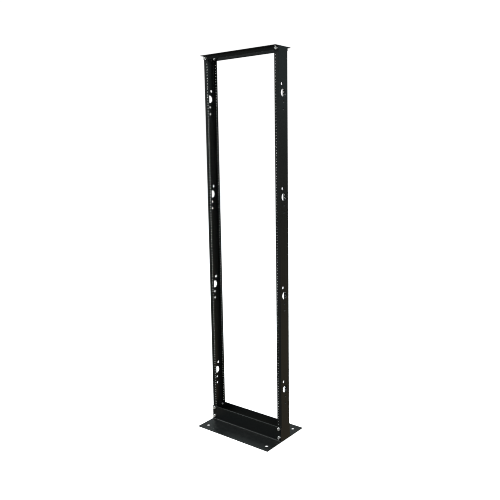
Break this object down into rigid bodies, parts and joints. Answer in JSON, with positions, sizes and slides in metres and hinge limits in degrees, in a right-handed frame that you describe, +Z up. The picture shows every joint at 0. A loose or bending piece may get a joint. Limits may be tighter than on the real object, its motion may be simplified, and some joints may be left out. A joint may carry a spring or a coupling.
{
  "type": "open relay rack",
  "caption": "Tall open two-post floor rack for 19-inch equipment: extruded aluminium channel uprights, top and base angles, bolted together, with tapped mounting holes on both faces.",
  "frame": {"origin": "on the floor, midway between the two uprights and midway between the front and rear base angles", "axes": "+X to the right seen from the front, +Y to the rear, +Z up"},
  "size_m": [0.508, 0.346, 2.1336],
  "materials": {
    "upright_coat": "fine-textured semi-gloss black powder coat on extruded aluminium",
    "angle_coat": "fine-textured semi-gloss black powder coat on extruded aluminium",
    "zinc_bolt": "bright zinc-plated steel",
    "zinc_washer": "bright zinc-plated steel",
    "zinc_spring": "zinc-plated spring steel",
    "zinc_nut": "bright zinc-plated steel"
  },
  "bodies": {
    "root": {"left_upright": "upright_coat", "right_upright": "upright_coat", "front_top_angle": "angle_coat", "rear_top_angle": "angle_coat", "front_base_angle": "angle_coat", "rear_base_angle": "angle_coat", "bolt_front_left_top": "zinc_bolt", "bolt_front_left_base_upper": "zinc_bolt", "bolt_front_left_base_lower": "zinc_bolt", "bolt_front_right_top": "zinc_bolt", "bolt_front_right_base_upper": "zinc_bolt", "bolt_front_right_base_lower": "zinc_bolt", "bolt_rear_left_top": "zinc_bolt", "bolt_rear_left_base_upper": "zinc_bolt", "bolt_rear_left_base_lower": "zinc_bolt", "bolt_rear_right_top": "zinc_bolt", "bolt_rear_right_base_upper": "zinc_bolt", "bolt_rear_right_base_lower": "zinc_bolt", "flat_washer_front_left_top": "zinc_washer", "flat_washer_front_left_base_upper": "zinc_washer", "flat_washer_front_left_base_lower": "zinc_washer", "flat_washer_front_right_top": "zinc_washer", "flat_washer_front_right_base_upper": "zinc_washer", "flat_washer_front_right_base_lower": "zinc_washer", "flat_washer_rear_left_top": "zinc_washer", "flat_washer_rear_left_base_upper": "zinc_washer", "flat_washer_rear_left_base_lower": "zinc_washer", "flat_washer_rear_right_top": "zinc_washer", "flat_washer_rear_right_base_upper": "zinc_washer", "flat_washer_rear_right_base_lower": "zinc_washer", "lock_washer_front_left_top": "zinc_spring", "lock_washer_front_left_base_upper": "zinc_spring", "lock_washer_front_left_base_lower": "zinc_spring", "lock_washer_front_right_top": "zinc_spring", "lock_washer_front_right_base_upper": "zinc_spring", "lock_washer_front_right_base_lower": "zinc_spring", "lock_washer_rear_left_top": "zinc_spring", "lock_washer_rear_left_base_upper": "zinc_spring", "lock_washer_rear_left_base_lower": "zinc_spring", "lock_washer_rear_right_top": "zinc_spring", "lock_washer_rear_right_base_upper": "zinc_spring", "lock_washer_rear_right_base_lower": "zinc_spring", "nut_front_left_top": "zinc_nut", "nut_front_left_base_upper": "zinc_nut", "nut_front_left_base_lower": "zinc_nut", "nut_front_right_top": "zinc_nut", "nut_front_right_base_upper": "zinc_nut", "nut_front_right_base_lower": "zinc_nut", "nut_rear_left_top": "zinc_nut", "nut_rear_left_base_upper": "zinc_nut", "nut_rear_left_base_lower": "zinc_nut", "nut_rear_right_top": "zinc_nut", "nut_rear_right_base_upper": "zinc_nut", "nut_rear_right_base_lower": "zinc_nut"}
  },
  "joints": []
}
